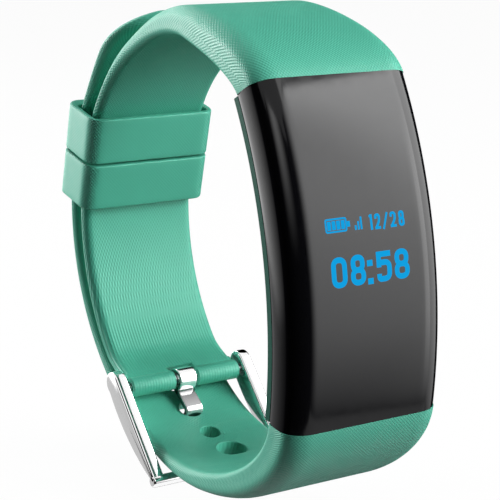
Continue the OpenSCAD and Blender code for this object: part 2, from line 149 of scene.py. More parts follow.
def makePiece(name, patches, material, body, nodes=(), relief=None):
    # one welded mesh from patches in millimetres; a piece given no body here stays unattached
    points = np.concatenate([p["points"] for p in patches]) * mm
    starts = np.cumsum([0] + [len(p["points"]) for p in patches[:-1]])
    quads = np.concatenate([p["quads"] + s for p, s in zip(patches, starts)])
    uv = np.concatenate([p["uv"] for p in patches])
    mesh = bpy.data.meshes.new(name)
    mesh.from_pydata(points.tolist(), [], quads.tolist())
    mesh.uv_layers.new(name="UVMap").data.foreach_set("uv", uv.astype(np.float32).ravel())
    bm = bmesh.new()
    bm.from_mesh(mesh)
    bmesh.ops.remove_doubles(bm, verts=bm.verts, dist=meshing["weld"])
    loose = [v for v in bm.verts if not v.link_faces]
    bmesh.ops.delete(bm, geom=loose, context="VERTS")
    bmesh.ops.recalc_face_normals(bm, faces=bm.faces)
    openEdges = sum(len(e.link_faces) != 2 for e in bm.edges)
    bm.to_mesh(mesh)
    bm.free()
    mesh.polygons.foreach_set("use_smooth", np.ones(len(mesh.polygons), bool))
    mesh.set_sharp_from_angle(angle=math.radians(meshing["sharp"]))
    mesh.materials.append(material)
    if relief:
        setRelief(mesh, relief)
    piece = addThing(name, mesh)
    if body:
        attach(piece, body)
    if nodes:
        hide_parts(*nodes)
    print(name, len(mesh.polygons), "faces, open edges", openEdges)
    return piece


# materials

def setInputs(tree, node, inputs):
    # a socket is linked, and any other value is set
    for key, value in inputs.items():
        if isinstance(value, bpy.types.NodeSocket):
            tree.links.new(value, node.inputs[key])
        else:
            node.inputs[key].default_value = value


def addNode(tree, kind, inputs=None, **settings):
    node = tree.nodes.new(kind)
    for key, value in settings.items():
        setattr(node, key, value)
    setInputs(tree, node, inputs or {})
    return node


def math2(tree, operation, a, b=0.0):
    return addNode(tree, "ShaderNodeMath", {0: a, 1: b}, operation=operation).outputs[0]


def times(tree, a, b):
    return math2(tree, "MULTIPLY", a, b)


def mapRange(tree, value, start, end, low, high, kind="LINEAR"):
    inputs = {"Value": value, "From Min": start, "From Max": end, "To Min": low, "To Max": high}
    return addNode(tree, "ShaderNodeMapRange", inputs, interpolation_type=kind).outputs["Result"]


def ramp(tree, value, start, end, low=0.0, high=1.0):
    return mapRange(tree, value, start, end, low, high, "SMOOTHSTEP")


def uvParts(tree):
    uv = addNode(tree, "ShaderNodeUVMap", uv_map="UVMap").outputs["UV"]
    return addNode(tree, "ShaderNodeSeparateXYZ", {0: uv}).outputs[:2]


def newMaterial(name):
    material = bpy.data.materials.new(name)
    material.use_nodes = True
    tree = material.node_tree
    return material, tree, tree.nodes["Principled BSDF"]


def mottle(tree, scale, detail=4.0):
    # soft noise on the piece's own coordinates, scale in spots per metre
    at = addNode(tree, "ShaderNodeTexCoord").outputs["Object"]
    noise = addNode(tree, "ShaderNodeTexNoise", {"Vector": at, "Scale": scale, "Detail": detail})
    return noise.outputs["Fac"]


finishing = dict(noiseLow=0.3, noiseHigh=0.7, glossScale=2.3, grainScale=6.0, grainStrength=0.5)


def spread(tree, value, low, high):
    # noise stretched from its usual range
    return mapRange(tree, value, finishing["noiseLow"], finishing["noiseHigh"], low, high)


def twoTone(tree, fac, dark, light):
    # the mix node's inputs 6 and 7 and its output 2 are the colour ones
    inputs = {0: fac, 6: (*dark, 1), 7: (*light, 1)}
    return addNode(tree, "ShaderNodeMix", inputs, data_type="RGBA").outputs[2]


def bumped(tree, strength, depth, height):
    # normal of a relief, its depth in mm
    inputs = {"Strength": strength, "Distance": depth * mm, "Height": height}
    return addNode(tree, "ShaderNodeBump", inputs).outputs["Normal"]


def plainFinish(name, dark, light, rough, metallic=0.0, scale=900.0, grain=0.0, specular=0.5):
    # two close tones, uneven gloss and a fine grain
    s = finishing
    material, tree, shader = newMaterial(name)
    setInputs(tree, shader, {"Base Color": twoTone(tree, mottle(tree, scale), dark, light),
                             "Roughness": spread(tree, mottle(tree, scale * s["glossScale"]), *rough),
                             "Metallic": metallic, "Specular IOR Level": specular})
    if grain:
        height = mottle(tree, scale * s["grainScale"])
        setInputs(tree, shader, {"Normal": bumped(tree, s["grainStrength"], grain, height)})
    return material


# besides its two close tones, the rubber's colour holds painted shade in the ribs' grooves
rubberLook = dict(dark=(0.066, 0.405, 0.285), light=(0.076, 0.445, 0.312), rough=(0.36, 0.46), roughScale=700,
                  pitch=0.40, rib=0.017, addShare=0.6, subtractShare=0.4, fineScale=9000, fineDetail=2.0,
                  fineShare=0.3, toneScale=260, grooveShadeShare=0.3, specular=0.32, sheen=0.03, sheenRough=0.45,
                  sheenTint=(0.75, 1.0, 0.93))


def ribbedRubber(name, look):
    # a fine weave: relief * (addShare sin(2 pi (v + u) / pitch) + subtractShare sin(2 pi (v - u) / pitch)),
    # u along and v round the piece, in mm
    material, tree, shader = newMaterial(name)
    u, v = uvParts(tree)
    relief = addNode(tree, "ShaderNodeAttribute", attribute_name="relief").outputs["Fac"]
    waves = []
    for rule in ("ADD", "SUBTRACT"):
        phase = math2(tree, rule, v, u)
        wave = math2(tree, "SINE", times(tree, phase, 2 * math.pi / look["pitch"]))
        waves.append(times(tree, wave, look[rule.lower() + "Share"]))
    wave = times(tree, math2(tree, "ADD", *waves), relief)
    fine = mottle(tree, look["fineScale"], look["fineDetail"])
    height = math2(tree, "ADD", wave, times(tree, fine, look["fineShare"]))
    # painted shade: the ribs' own waves darken the colour in their grooves, added to a random mottle of tone
    grooveShade = times(tree, wave, look["grooveShadeShare"])
    tone = math2(tree, "ADD", grooveShade, mottle(tree, look["toneScale"]))
    setInputs(tree, shader, {"Base Color": twoTone(tree, tone, look["dark"], look["light"]),
                             "Roughness": spread(tree, mottle(tree, look["roughScale"]), *look["rough"]),
                             "Normal": bumped(tree, 1.0, look["rib"], height),
                             "Specular IOR Level": look["specular"], "Sheen Weight": look["sheen"],
                             "Sheen Roughness": look["sheenRough"], "Sheen Tint": (*look["sheenTint"], 1)})
    return material


# the tang's dark and light tones paint the steel's reflections along the strip into its colour
tongueLook = dict(dark=(0.17, 0.17, 0.173), light=(0.95, 0.95, 0.95), curlEnd=6.1, fade=0.6, bend=11.0,
                  bendReflection=0.5, rough=(0.08, 0.16), roughScale=900)


def paintedReflectionTongue(name, look):
    # painted reflection in the base colour: bright round the curl, darker where the strip starts, lighter
    # again towards its bend
    material, tree, shader = newMaterial(name)
    along = uvParts(tree)[0]
    start = look["curlEnd"] + look["fade"]
    curl = ramp(tree, along, start, look["curlEnd"])
    tone = math2(tree, "ADD", curl, ramp(tree, along, start, look["bend"], 0.0, look["bendReflection"]))
    setInputs(tree, shader, {"Base Color": twoTone(tree, tone, look["dark"], look["light"]),
                             "Roughness": spread(tree, mottle(tree, look["roughScale"]), *look["rough"]),
                             "Metallic": 1.0})
    return material


glowLook = dict(colour=(0.006, 0.345, 0.73), strength=1.0, cell=0.12, ripple=0.04, base=(0.0, 0.01, 0.02))


def glowFinish(name, look):
    # lit display cells: a fine grid of slightly dimmer gaps, as sin(2 pi u / cell) sin(2 pi v / cell)
    material, tree, shader = newMaterial(name)
    turns = 2 * math.pi / look["cell"]
    waves = [math2(tree, "SINE", times(tree, c, turns)) for c in uvParts(tree)]
    both = times(tree, *waves)
    lit = math2(tree, "ADD", times(tree, both, look["ripple"]), look["strength"])
    setInputs(tree, shader, {"Base Color": (*look["base"], 1), "Specular IOR Level": 0.0,
                             "Emission Color": (*look["colour"], 1), "Emission Strength": lit})
    return material


rubber = ribbedRubber("strapRubber", rubberLook)
keeperRubber = ribbedRubber("keeperRubber", dict(rubberLook, pitch=0.44))
coverGloss = plainFinish("coverGloss", (0.003, 0.003, 0.004), (0.004, 0.004, 0.005), (0.08, 0.12), scale=300,
                         specular=0.25)
displayGlow = glowFinish("displayGlow", glowLook)
polished = plainFinish("polishedSteel", (0.93, 0.93, 0.935), (0.97, 0.97, 0.97), (0.05, 0.09), 1.0, 500)
# tang steel whose colour carries painted reflection
tangSteel = paintedReflectionTongue("tangSteel", tongueLook)
turned = plainFinish("turnedSteel", (0.55, 0.55, 0.56), (0.64, 0.64, 0.65), (0.22, 0.34), 1.0, 1500)
print("materials ready")


# straps: a rounded section carried along the band's outer line;
# angles run round the wrist from 0 at the back to 90 at the top

band = dict(loopR=27.3, strapT=1.65, rootT=4.5, strapW=16.0, layerGap=1.15, taperLen=46.0, tipA=61.0,
            tailLift=0.9, buckleDrop=1.35, crownRise=1.2, coverW=20.5, upperMeet=92.0, lowerMeet=-95.0,
            upperReach=(4.8, 3.9), lowerReach=(6.7, 11.5), upperRoot=18.8, lowerRoot=27.5, crownTurn=60.0,
            crownSpan=32.0, sleeveTurn=-40.0, dropTurn=14.0, dropSpan=90.0, liftTurn=33.0, liftSpan=22.0,
            tipSpan=16.0, barR=25.05, barA=-54.1, noTip=99.0)
# round of the strap's edges, at the cover and where it is thin:
# width and depth of the outer ones, and the inner ones
edges = dict(across=(2.9, 0.9), depth=(1.9, 0.75), inner=(0.5, 1.1), most=0.4)
cover = dict(r=62.5, half=17.7, tilt=10.2, front=25.3, middleZ=-7.4, side=4.25, wall=1.2, roundX=2.99,
             roundY=1.91, meet=7.7, lean=0.25, shoulderRows=22, sideRows=12, flatRows=16, lengthRows=112)
band["tailR"] = band["loopR"] + band["layerGap"] + band["strapT"]
band["sleeveDrop"] = band["loopR"] - band["strapT"] / 2 - band["barR"]
bow = np.array([cover["r"] - cover["front"], cover["middleZ"]])
bar = polar(band["barR"], band["barA"])


def onCover(a):
    return bow + cover["r"] * np.array([-math.cos(math.radians(a)), math.sin(math.radians(a))])


def upperR(a):
    # outer radius of the buckle strap: the loop's, with a rise at the crown and a drop to the sleeve
    b = band
    rise = b["crownRise"] * ease((a - b["crownTurn"]) / b["crownSpan"])
    return b["loopR"] + rise - b["sleeveDrop"] * ease((b["sleeveTurn"] - a) / (b["sleeveTurn"] - b["barA"]))


def lowerR(a):
    # outer radius of the long strap: the tail's, with a drop at the buckle and a lift of the tail
    b = band
    drop = b["buckleDrop"] * ease((b["dropTurn"] - a) / b["dropSpan"])
    return b["tailR"] - drop + b["tailLift"] * ease((a - b["liftTurn"]) / b["liftSpan"])


def rootCurve(end, reach, meet, radius):
    # curve from the cover's end to the round of the loop; end is 1 at the top and -1 at the bottom
    a = cover["tilt"] + end * cover["half"]
    leave = end * np.array([math.sin(math.radians(a)), math.cos(math.radians(a))])
    arrive = polar(1.0, meet - 90 * end)
    at = polar(radius(meet), meet)
    return np.array([onCover(a), onCover(a) + reach[0] * leave, at - reach[1] * arrive, at])


def ringColumns(flat, corner=9, side=3):
    # the section as weights: width = a . (w/2, rx, ri) and depth = b . (t, rd, ri), from the far side round,
    # with the middle column of the near side and those of the outer and inner faces
    q = quarter(corner + 1)
    f = np.linspace(1, -1, 2 * flat + 1)
    k = np.linspace(0, 1, side + 2)[1:-1]
    one, zero = np.ones_like, np.zeros_like
    outerRight = np.stack([one(q), np.cos(q) - 1, zero(q), zero(q), 1 - np.sin(q), zero(q)], 1)
    outerFlat = np.stack([f, -f, zero(f), zero(f), zero(f), zero(f)], 1)[1:-1]
    outerLeft = outerRight[::-1] * [-1, -1, -1, 1, 1, 1]
    leftSide = np.stack([-one(k), zero(k), zero(k), k, 1 - k, -k], 1)
    innerLeft = np.stack([-one(q), zero(q), 1 - np.cos(q), one(q), zero(q), np.sin(q) - 1], 1)
    innerFlat = np.stack([-f, zero(f), f, one(f), zero(f), zero(f)], 1)[1:-1]
    innerRight = innerLeft[::-1] * [-1, -1, -1, 1, 1, 1]
    rightSide = leftSide[::-1] * [-1, -1, -1, 1, 1, 1]
    parts = [outerRight, outerFlat, outerLeft, leftSide, innerLeft, innerFlat, innerRight, rightSide]
    starts = np.cumsum([0] + [len(part) for part in parts])
    outerFace, near, innerFace = [(starts[i] + starts[i + 1]) // 2 for i in (1, 3, 5)]
    return join(*parts), near, (outerFace, innerFace)


def strapSizes(dist, toTip):
    # width, thickness, and the round of the edges, at distances from the cover and from the tail's tip
    b, e = band, edges
    f = ease(dist / b["taperLen"])
    tip = np.sqrt(1 - np.clip(1 - toTip / (b["strapW"] / 2), 0, 1) ** 2)
    w = mix(b["coverW"], b["strapW"], f) * tip
    t = mix(b["rootT"], b["strapT"], f)
    rx = np.minimum(mix(*e["across"], f), w * e["most"])
    ri = np.minimum(mix(*e["inner"], f), w * e["most"])
    return w, t, rx, mix(*e["depth"], f), ri


def sectionGrid(columns, sizes):
    w, t, rx, rd, ri = sizes
    across = np.stack([w / 2, rx, ri], 1) @ columns[:, :3].T
    depth = np.stack([t, rd, ri], 1) @ columns[:, 3:].T
    return across, depth


def ringUv(along, across, depth, near):
    # u is the distance along the strap,
    # v the distance round the section both ways from the near side's middle column
    x = join(across, across[:, :1], axis=1)
    d = join(depth, depth[:, :1], axis=1)
    v = join(np.zeros((len(x), 1)), np.cumsum(np.hypot(np.diff(x), np.diff(d)), 1), axis=1)
    u = np.broadcast_to(along[:, None], v.shape)
    return np.stack([u, abs(v - v[:, near:near + 1])], -1)


ribs = dict(strap=1.2, strapEdge=0.1, edgeTurn=0.7, sleeve=0.55, sleeveR=1.3, fade=1.2, keeper=0.3,
            keeperEdge=2.6)


def strapRelief(sideways, places):
    # a little deeper towards the edges, and softer on the sleeve round the spring bar
    s = ribs
    fromBar = np.hypot(places[:, 1] - bar[0], places[:, 2] - bar[1])
    depth = s["strap"] + s["strapEdge"] * ease(sideways / s["edgeTurn"])
    return depth * mix(s["sleeve"], 1.0, ease((fromBar - s["sleeveR"]) / s["fade"]))


def keeperRelief(sideways, places):
    # deepest on the round edges, where the normal turns half way
    return ribs["keeper"] + ribs["keeperEdge"] * 4 * sideways ** 2 * (1 - sideways ** 2)


def strapPoints(p, n, across, depth):
    yz = p[:, None] - n[:, None] * depth[..., None]
    return join(across[..., None], yz, axis=-1)


def sleeveTube(x0, x1, outer, inner, lip, turns=72):
    # a closed outline with rounded lips, turned about the spring bar
    q = quarter()
    xs = shut(join(x1 - lip + lip * np.sin(q), x1 - lip + lip * np.cos(q),
                   x0 + lip - lip * np.sin(q), x0 + lip - lip * np.cos(q)))
    rs = shut(join(outer - lip + lip * np.cos(q), inner + lip - lip * np.sin(q),
                   inner + lip - lip * np.cos(q), outer - lip + lip * np.sin(q)))
    a = np.linspace(0, 360, turns, endpoint=False)
    yz = bar + polar(rs[:, None], a[None])
    points = join(np.broadcast_to(xs[:, None], yz.shape[:2])[..., None], yz, axis=-1)
    v = np.broadcast_to(lengthAlong(np.stack([xs, rs], 1))[:, None], (len(xs), turns + 1))
    return patch(points, np.stack([v * 0, v], -1), closed=True)


upper = dict(rootRows=44, arcRows=190, flat=22, sleeve=1.25, bore=0.73, notch=3.3, notchR=1.83, lip=0.2,
             endGap=0.1, fingerRows=8, fingerEnd=1.7, fingerRound=0.6, straightFrom=82.0, turnLength=24.0,
             slant=0.7)


def upperStrap():
    b, s = band, upper
    t = np.linspace(0, 1, s["rootRows"])
    at, way = bezier(rootCurve(1, b["upperReach"], b["upperMeet"], upperR), t)
    notchA = b["barA"] + math.degrees(s["notchR"] / b["barR"])
    a = np.linspace(b["upperMeet"], notchA, s["arcRows"])[1:]
    p = join(at, polar(upperR(a), a))
    n = join(leftOf(way), polar(1.0, a))
    arc = b["upperRoot"] + np.radians(b["upperMeet"] - a) * b["loopR"]
    dist = join(t * b["upperRoot"], arc)
    columns, near, _ = ringColumns(s["flat"])
    across, depth = sectionGrid(columns, strapSizes(dist, np.full_like(dist, b["noTip"])))
    points = strapPoints(p, n, across, depth)
    # towards the sleeve the ribs turn along the strap: their slant is the slope of this length
    steps = np.diff(dist) * ease((s["straightFrom"] - dist[1:]) / s["turnLength"])
    slant = join([0], np.cumsum(steps)) * s["slant"]
    slant -= slant[-1]
    patches = capped(points, ringUv(slant, across, depth, near))
    # two fingers beside the notch, each with its length of sleeve
    fingerW = (b["strapW"] - s["notch"]) / 2
    fa = np.linspace(notchA, b["barA"] + s["fingerEnd"], s["fingerRows"])
    sizes = (fingerW, b["strapT"], *[s["fingerRound"]] * 3)
    x, d = sectionGrid(columns, [np.full_like(fa, size) for size in sizes])
    for side in (-1, 1):
        shifted = x + side * (fingerW + s["notch"]) / 2
        finger = strapPoints(polar(upperR(fa), fa), polar(1.0, fa), shifted, d)
        patches += capped(finger, ringUv(fa * 0, x, d, near))
        ends = sorted([side * s["notch"] / 2, side * (b["strapW"] / 2 - s["endGap"])])
        patches.append(sleeveTube(*ends, s["sleeve"], s["bore"], s["lip"]))
    makePiece("strapUpperSkin", patches, rubber, "band", ["strap_upper"], relief=strapRelief)


# smaller has the radius of the hole beside the tang and of the one round it
lower = dict(rootRows=60, arcStart=0.15, step=0.55, tipRows=30, tipTurn=89.6, endRound=0.8, endFlat=0.12,
             flat=26, block=6, reach=10, lip=0.14, wallRows=5, holeR=1.9, holeStep=11.0, holes=12,
             tangHole=-61.5, tangIndex=2, smaller={1: 1.25, 2: 1.5})


def holeWall(centre, holeR, holeT):
    # rings from the outer face round a lip, straight through, and round a lip to the inner face;
    # their points stand where the grid's square block has its edge points
    s = lower
    ahead = np.arange(-s["block"], s["block"])
    edge = np.full_like(ahead, s["block"])
    rows = join(ahead, edge, -ahead, -edge)
    columns = join(-edge, ahead, edge, -ahead)
    around = np.arctan2(columns, rows)[None]
    q = quarter(s["wallRows"])[:, None]
    ringR = join(1 - np.sin(q), 1 - np.cos(q)) * s["lip"] + holeR
    ringD = join((1 - np.cos(q)) * s["lip"], holeT - s["lip"] + np.sin(q) * s["lip"])
    ringA = centre + np.degrees(np.arcsin(ringR * np.cos(around) / (lowerR(centre) - ringD)))
    yz = polar(lowerR(ringA) - ringD, ringA)
    x = -ringR * np.sin(around)
    return patch(join(x[..., None], yz, axis=-1), closed=True)


def lowerStrap():
    b, s = band, lower
    t = np.linspace(0, 1, s["rootRows"])
    at, way = bezier(rootCurve(-1, b["lowerReach"], b["lowerMeet"], lowerR), t)
    # rows round the loop are counted from the tang's hole, so that every hole has a row through its middle
    low, high = b["lowerMeet"], b["tipA"] - b["tipSpan"]
    firstRow = math.ceil((low + s["arcStart"] - s["tangHole"]) / s["step"])
    arc = s["tangHole"] + s["step"] * np.arange(firstRow, math.floor((high - s["tangHole"]) / s["step"]))
    tip = high + b["tipSpan"] * np.sin(np.radians(np.linspace(0, s["tipTurn"], s["tipRows"])))
    a = join(arc, tip)
    dist = join(t * b["lowerRoot"], b["lowerRoot"] + np.radians(a - low) * b["tailR"])
    toTip = join(np.full_like(t, b["noTip"]), np.radians(b["tipA"] - a) * b["tailR"])
    columns, near, middles = ringColumns(s["flat"])
    sizes = strapSizes(dist, toTip)
    thick = sizes[1]
    across, depth = sectionGrid(columns, sizes)
    # the tail's end is rounded over
    edge = np.sqrt(1 - np.clip(1 - toTip / s["endRound"], 0, 1) ** 2)[:, None]
    depth = mix(thick[:, None] / 2, depth, mix(s["endFlat"], 1, edge))
    angle = join(np.zeros(len(at)), a)
    angles = np.broadcast_to(angle[:, None], across.shape).copy()
    keep = np.ones((len(dist) - 1, len(columns)), bool)
    # holes: inside a square block of the grid the quads go, and the rows and columns round it
    # bend from the square to a circle: place = mix(circle, grid, distance beyond the block)
    block, reach = s["block"], s["reach"]
    di, dj = np.meshgrid(np.arange(-reach, reach + 1), np.arange(-reach, reach + 1), indexing="ij")
    far = np.maximum(abs(di), abs(dj)) / block
    turn = np.arctan2(dj, di)
    grid = ease((far - 1) / (reach / block - 1))
    walls = []
    for hole in range(s["holes"]):
        centre = s["tangHole"] + s["holeStep"] * (hole - s["tangIndex"])
        holeR = s["smaller"].get(hole, s["holeR"])
        r = holeR + s["lip"]
        row = len(at) + int(np.argmin(abs(a - centre)))
        for middle, sign in zip(middles, (-1, 1)):
            ii, jj = row + di, middle + dj
            surface = lowerR(centre) - depth[row, middle]
            circleA = centre + np.degrees(np.arcsin(r * np.cos(turn) / surface))
            circle = circleA, sign * r * np.sin(turn), depth[row, middle]
            for values, target in zip((angles, across, depth), circle):
                values[ii, jj] = np.where(far < 1, values[ii, jj], mix(target, values[ii, jj], grid))
            keep[row - block:row + block, middle - block:middle + block] = False
        walls.append(holeWall(centre, holeR, thick[row]))
    swept = angles[len(at):]
    rootShape = (len(at), len(columns), 2)
    p = join(np.broadcast_to(at[:, None], rootShape), polar(lowerR(swept), swept))
    n = join(np.broadcast_to(-leftOf(way)[:, None], rootShape), polar(1.0, swept))
    points = join(across[..., None], p - n * depth[..., None], axis=-1)
    line = join(at, polar(lowerR(a), a))
    patches = capped(points, ringUv(lengthAlong(line), across, depth, near), keep) + walls
    makePiece("strapLowerSkin", patches, rubber, "band", ["strap_lower"], relief=strapRelief)


upperStrap()
lowerStrap()
print("straps done")


# keepers: a rounded box wall with a slot that follows the round of the straps

keeper = dict(length=6.0, depth=7.8, wall=0.85, side=0.75, round=1.75, slotRound=0.6, clear=0.3, gap=0.3,
              angle=16.9, lean=14.0, rim=0.24, rows=9)


def roundedLoop(w, d, r, corner=8, long=24, short=10):
    # closed outline of a rectangle with round corners, counted the same for every size
    q = quarter(corner + 1)
    signs = [(1, 1), (-1, 1), (-1, -1), (1, -1)]
    arcs = []
    for k, (sx, sd) in enumerate(signs):
        arc = np.stack([np.cos(q + k * np.pi / 2), np.sin(q + k * np.pi / 2)], 1) * r
        arcs.append(arc + [sx * (w / 2 - r), sd * (d / 2 - r)])
    points = []
    for arc, following, count in zip(arcs, arcs[1:] + arcs[:1], (long, short, long, short)):
        points += [arc, mix(arc[-1], following[0], np.linspace(0, 1, count + 1)[1:-1, None])]
    return join(*points)


def keeperSkin(name, low, high, body, node):
    b, s = band, keeper
    slotIn, slotOut = b["loopR"] - b["strapT"] - s["clear"], b["tailR"] + s["clear"]
    slotW = b["strapW"] + 2 * s["clear"]
    centre = polar(slotOut + s["wall"] - s["depth"] / 2, s["angle"])
    out, up = polar(1.0, s["lean"]), polar(1.0, s["lean"] + 90)
    outer = roundedLoop(slotW + 2 * s["side"], s["depth"], s["round"])
    slot = roundedLoop(slotW, slotOut - slotIn, s["slotRound"])
    # the wall's own outline: up the outside, over the rim, down the slot and back under
    q = quarter()
    rim = s["rim"]
    climb = np.linspace(low + rim, high - rim, s["rows"])
    heights = join(climb, high - rim + rim * np.sin(q)[1:], high - rim + rim * np.cos(q),
                   climb[::-1][1:], low + rim - rim * np.sin(q)[1:], low + rim - rim * np.cos(q))
    rise = rim * (1 - np.cos(q))
    fall = rim * (1 - np.sin(q))
    level = np.zeros(len(climb))
    stretches = [level, rise[1:], fall, level[1:], rise[1:], fall]
    inset = join(*stretches)
    inSlot = np.repeat([False, False, True, True, True, False], [len(part) for part in stretches])
    base = centre + heights[:, None] * up
    along = base @ out
    slotR = slot[:, 1] + (slotIn + slotOut) / 2
    slotD = -along[:, None] + np.sqrt(along[:, None] ** 2 - (base ** 2).sum(1)[:, None] + slotR[None] ** 2)
    inner = np.stack([np.broadcast_to(slot[:, 0], slotD.shape), slotD], -1)
    shell = np.broadcast_to(outer, inner.shape)
    pull = unit(inner - shell) * inset[:, None, None]
    flat = np.where(inSlot[:, None, None], inner - pull, shell + pull)
    yz = base[:, None] + flat[..., 1:] * out
    points = join(flat[..., :1], yz, axis=-1)
    uv = uvGrid(heights + inset * np.where(inSlot, -1, 1), lengthAlong(shut(outer)))
    patches = [patch(points, uv, closed=True)]
    makePiece(name, patches, keeperRubber, body, [node], relief=keeperRelief)


nearEnd = keeper["gap"] / 2
farEnd = nearEnd + keeper["length"]
keeperSkin("keeperUpperSkin", nearEnd, farEnd, "upper_keeper", "keeper_upper")
keeperSkin("keeperLowerSkin", -farEnd, -nearEnd, "lower_keeper", "keeper_lower")
print("keepers done")


# front cover: its section, with oval shoulders, swung about the cover's bow

def bowed(x, r, a):
    # place at width x, radius r and angle a along the cover, as rows of points
    turn = np.radians(a + cover["tilt"])
    yz = bow + np.stack([-r * np.cos(turn), r * np.sin(turn)], -1)
    return join(np.broadcast_to(x, yz.shape[:-1])[..., None], yz, axis=-1)


def coverSection(inset):
    # half the outline from the rim over the shoulder to the middle: x against depth below the front;
    # the side is a shallow parabola that meets the oval shoulder without a break and leans in towards the rim
    c = cover
    half = band["coverW"] / 2 - inset
    rx, ry = c["roundX"] - inset, c["roundY"] - inset
    q = np.radians(np.linspace(c["meet"], 90, c["shoulderRows"]))
    x, d = rx * np.cos(q), c["roundY"] - ry * np.sin(q)
    slope = rx / ry * math.tan(q[0])
    span = c["side"] - d[0]
    t = np.linspace(span, 0, c["sideRows"])[:-1]
    side = x[0] + slope * t - (slope + c["lean"]) / (2 * span) * t ** 2
    x = join(side, x)
    x += half - x.max()
    x = join(x, np.linspace(x[-1], 0, c["flatRows"])[1:])
    d = join(d[0] + t, d, np.full(c["flatRows"] - 1, inset))
    x, d = join(x, -x[-2::-1]), join(d, d[-2::-1])
    return np.stack([x, d], 1)


def coverSkin():
    c = cover
    outline = join(coverSection(0), coverSection(c["wall"])[::-1])
    a = np.linspace(-c["half"], c["half"], c["lengthRows"])
    x, d, swing = np.broadcast_arrays(outline[None, :, 0], outline[None, :, 1], a[:, None])
    points = bowed(x, c["r"] - d, swing)
    uv = uvGrid(np.radians(a) * c["r"], lengthAlong(shut(outline)))
    half = len(outline) // 2
    ends = [patch(np.stack([row[:half], row[half:][::-1]])) for row in (points[0], points[-1])]
    patches = [patch(points, uv, closed=True)] + ends
    makePiece("coverSkin", patches, coverGloss, "band", ["front_cover"])


coverSkin()
print("cover done")


# display: numerals and small signs as bent strokes on the cover's front, each placed by x and z on it

glyphs = dict(lift=0.012, thick=0.03, layer=0.002, timeStroke=0.62, timeBase=-3.66, timeHigh=3.3,
              time=[("0", -5.06, 2.05), ("8", -2.58, 2.0), ("5", 0.9, 2.0), ("8", 3.28, 2.04)],
              colonX=(-0.36, 0.38), colonZ=(-3.4, -1.45), colonStroke=0.66, dateStroke=0.30, dateBase=2.03,
              dateHigh=1.69,
              date=[("1", 0.48, 0.42), ("2", 1.2, 0.76), ("/", 2.16, 0.92), ("2", 3.27, 0.82),
                    ("8", 4.4, 0.8)])
battery = dict(x=(-5.2, -2.56), z=(2.33, 3.67), round=0.2, stroke=0.2, barX=(-4.78, -4.18, -3.58, -2.98),
               barZ=(2.52, 3.48), barStroke=0.5, knobX=(-2.44, -2.06), knobZ=3.0, knobStroke=0.62)
signal = dict(bars=[(-1.36, 0.5), (-0.98, 0.9), (-0.6, 1.36)], base=2.25, stroke=0.24)


def softLine(corners, r, closed=False, steps=7):
    # line through corner points, each corner rounded by a quadratic curve of reach r
    p = np.array(corners, float)
    before, after = np.roll(p, 1, 0), np.roll(p, -1, 0)
    shorter = np.minimum(np.linalg.norm(before - p, axis=1), np.linalg.norm(after - p, axis=1))
    reach = np.minimum(r, 0.5 * shorter)[:, None]
    a = p + reach * unit(before - p + meshing["tiny"])
    c = p + reach * unit(after - p + meshing["tiny"])
    t = np.linspace(0, 1, steps)[None, :, None]
    curve = (1 - t) ** 2 * a[:, None] + 2 * t * (1 - t) * p[:, None] + t * t * c[:, None]
    if closed:
        return curve.reshape(-1, 2)
    return join(p[:1], curve[1:-1].reshape(-1, 2), p[-1:])


def stroke(path, width, closed=False, layer=0):
    # a flat strip along a path on the cover's front, with a thin edge; layers lie one on another
    p = np.asarray(path, float)
    if closed:
        way = unit(np.roll(p, -1, 0) - np.roll(p, 1, 0))
    else:
        way = unit(np.gradient(p, axis=0))
    side = leftOf(way) * width / 2
    left, right = p + side, p - side
    high = cover["r"] + glyphs["lift"] + glyphs["layer"] * layer
    low = high - glyphs["thick"]
    loops = [bowed(e[:, 0], np.full(len(e), r), np.degrees(e[:, 1] / cover["r"]))
             for e, r in ((left, low), (left, high), (right, high), (right, low))]
    rings = np.stack(loops, 1)
    flat = np.stack([left, left, right, right, left], 1)
    if closed:
        return [patch(shut(rings), shut(flat), closed=True)]
    return capped(rings, flat)


def ringStroke(corners, r, width, layer=0):
    return stroke(softLine(corners, r, True), width, True, layer)


def numeral(sign, x0, w, z0, h, s):
    # the strokes of one numeral in the box from (x0, z0), w wide and h high, drawn with stroke width s;
    # its corners are set as shares of w and h
    x1, z1, e = x0 + w, z0 + h, s / 2
    l, r, b, t, m = x0 + e, x1 - e, z0 + e, z1 - e, z0 + h / 2
    k = 0.42 * w
    if sign == "0":
        return ringStroke([(l, b), (r, b), (r, t), (l, t)], k, s)
    if sign == "8":
        pinch = 0.05 * w
        top = [(l + pinch, m), (r - pinch, m), (r - pinch / 2, t), (l + pinch / 2, t)]
        return ringStroke(top, k, s) + ringStroke([(l, b), (r, b), (r, m), (l, m)], k, s, 1)
    if sign == "5":
        waist = m + 0.13 * h
        hook = softLine([(l, z0 + 0.27 * h), (l, b), (r, b), (r, waist), (l + 0.1 * w, waist)], k)
        flag = stroke([(x0, t), (x1 - 0.04 * w, t)], s, layer=1)
        return stroke(hook, s) + flag + stroke([(l, z1), (l, m - 0.02 * h)], s, layer=2)
    if sign == "2":
        bowl = softLine([(l, t - 0.24 * h), (l, t), (r, t), (r, m + 0.02 * h), (l, b)], k)
        return stroke(bowl, s) + stroke([(x0, b), (x1, b)], s, layer=1)
    if sign == "1":
        return stroke([(r, z0), (r, z1)], s) + stroke([(x0, t - 0.05 * h), (r, t)], s * 0.8, layer=1)
    return stroke([(l, z0 - 0.05 * h), (r, z1)], s * 0.85)


def numerals(spots, base, high, width):
    return [p for sign, x, w in spots for p in numeral(sign, x, w, base, high, width)]


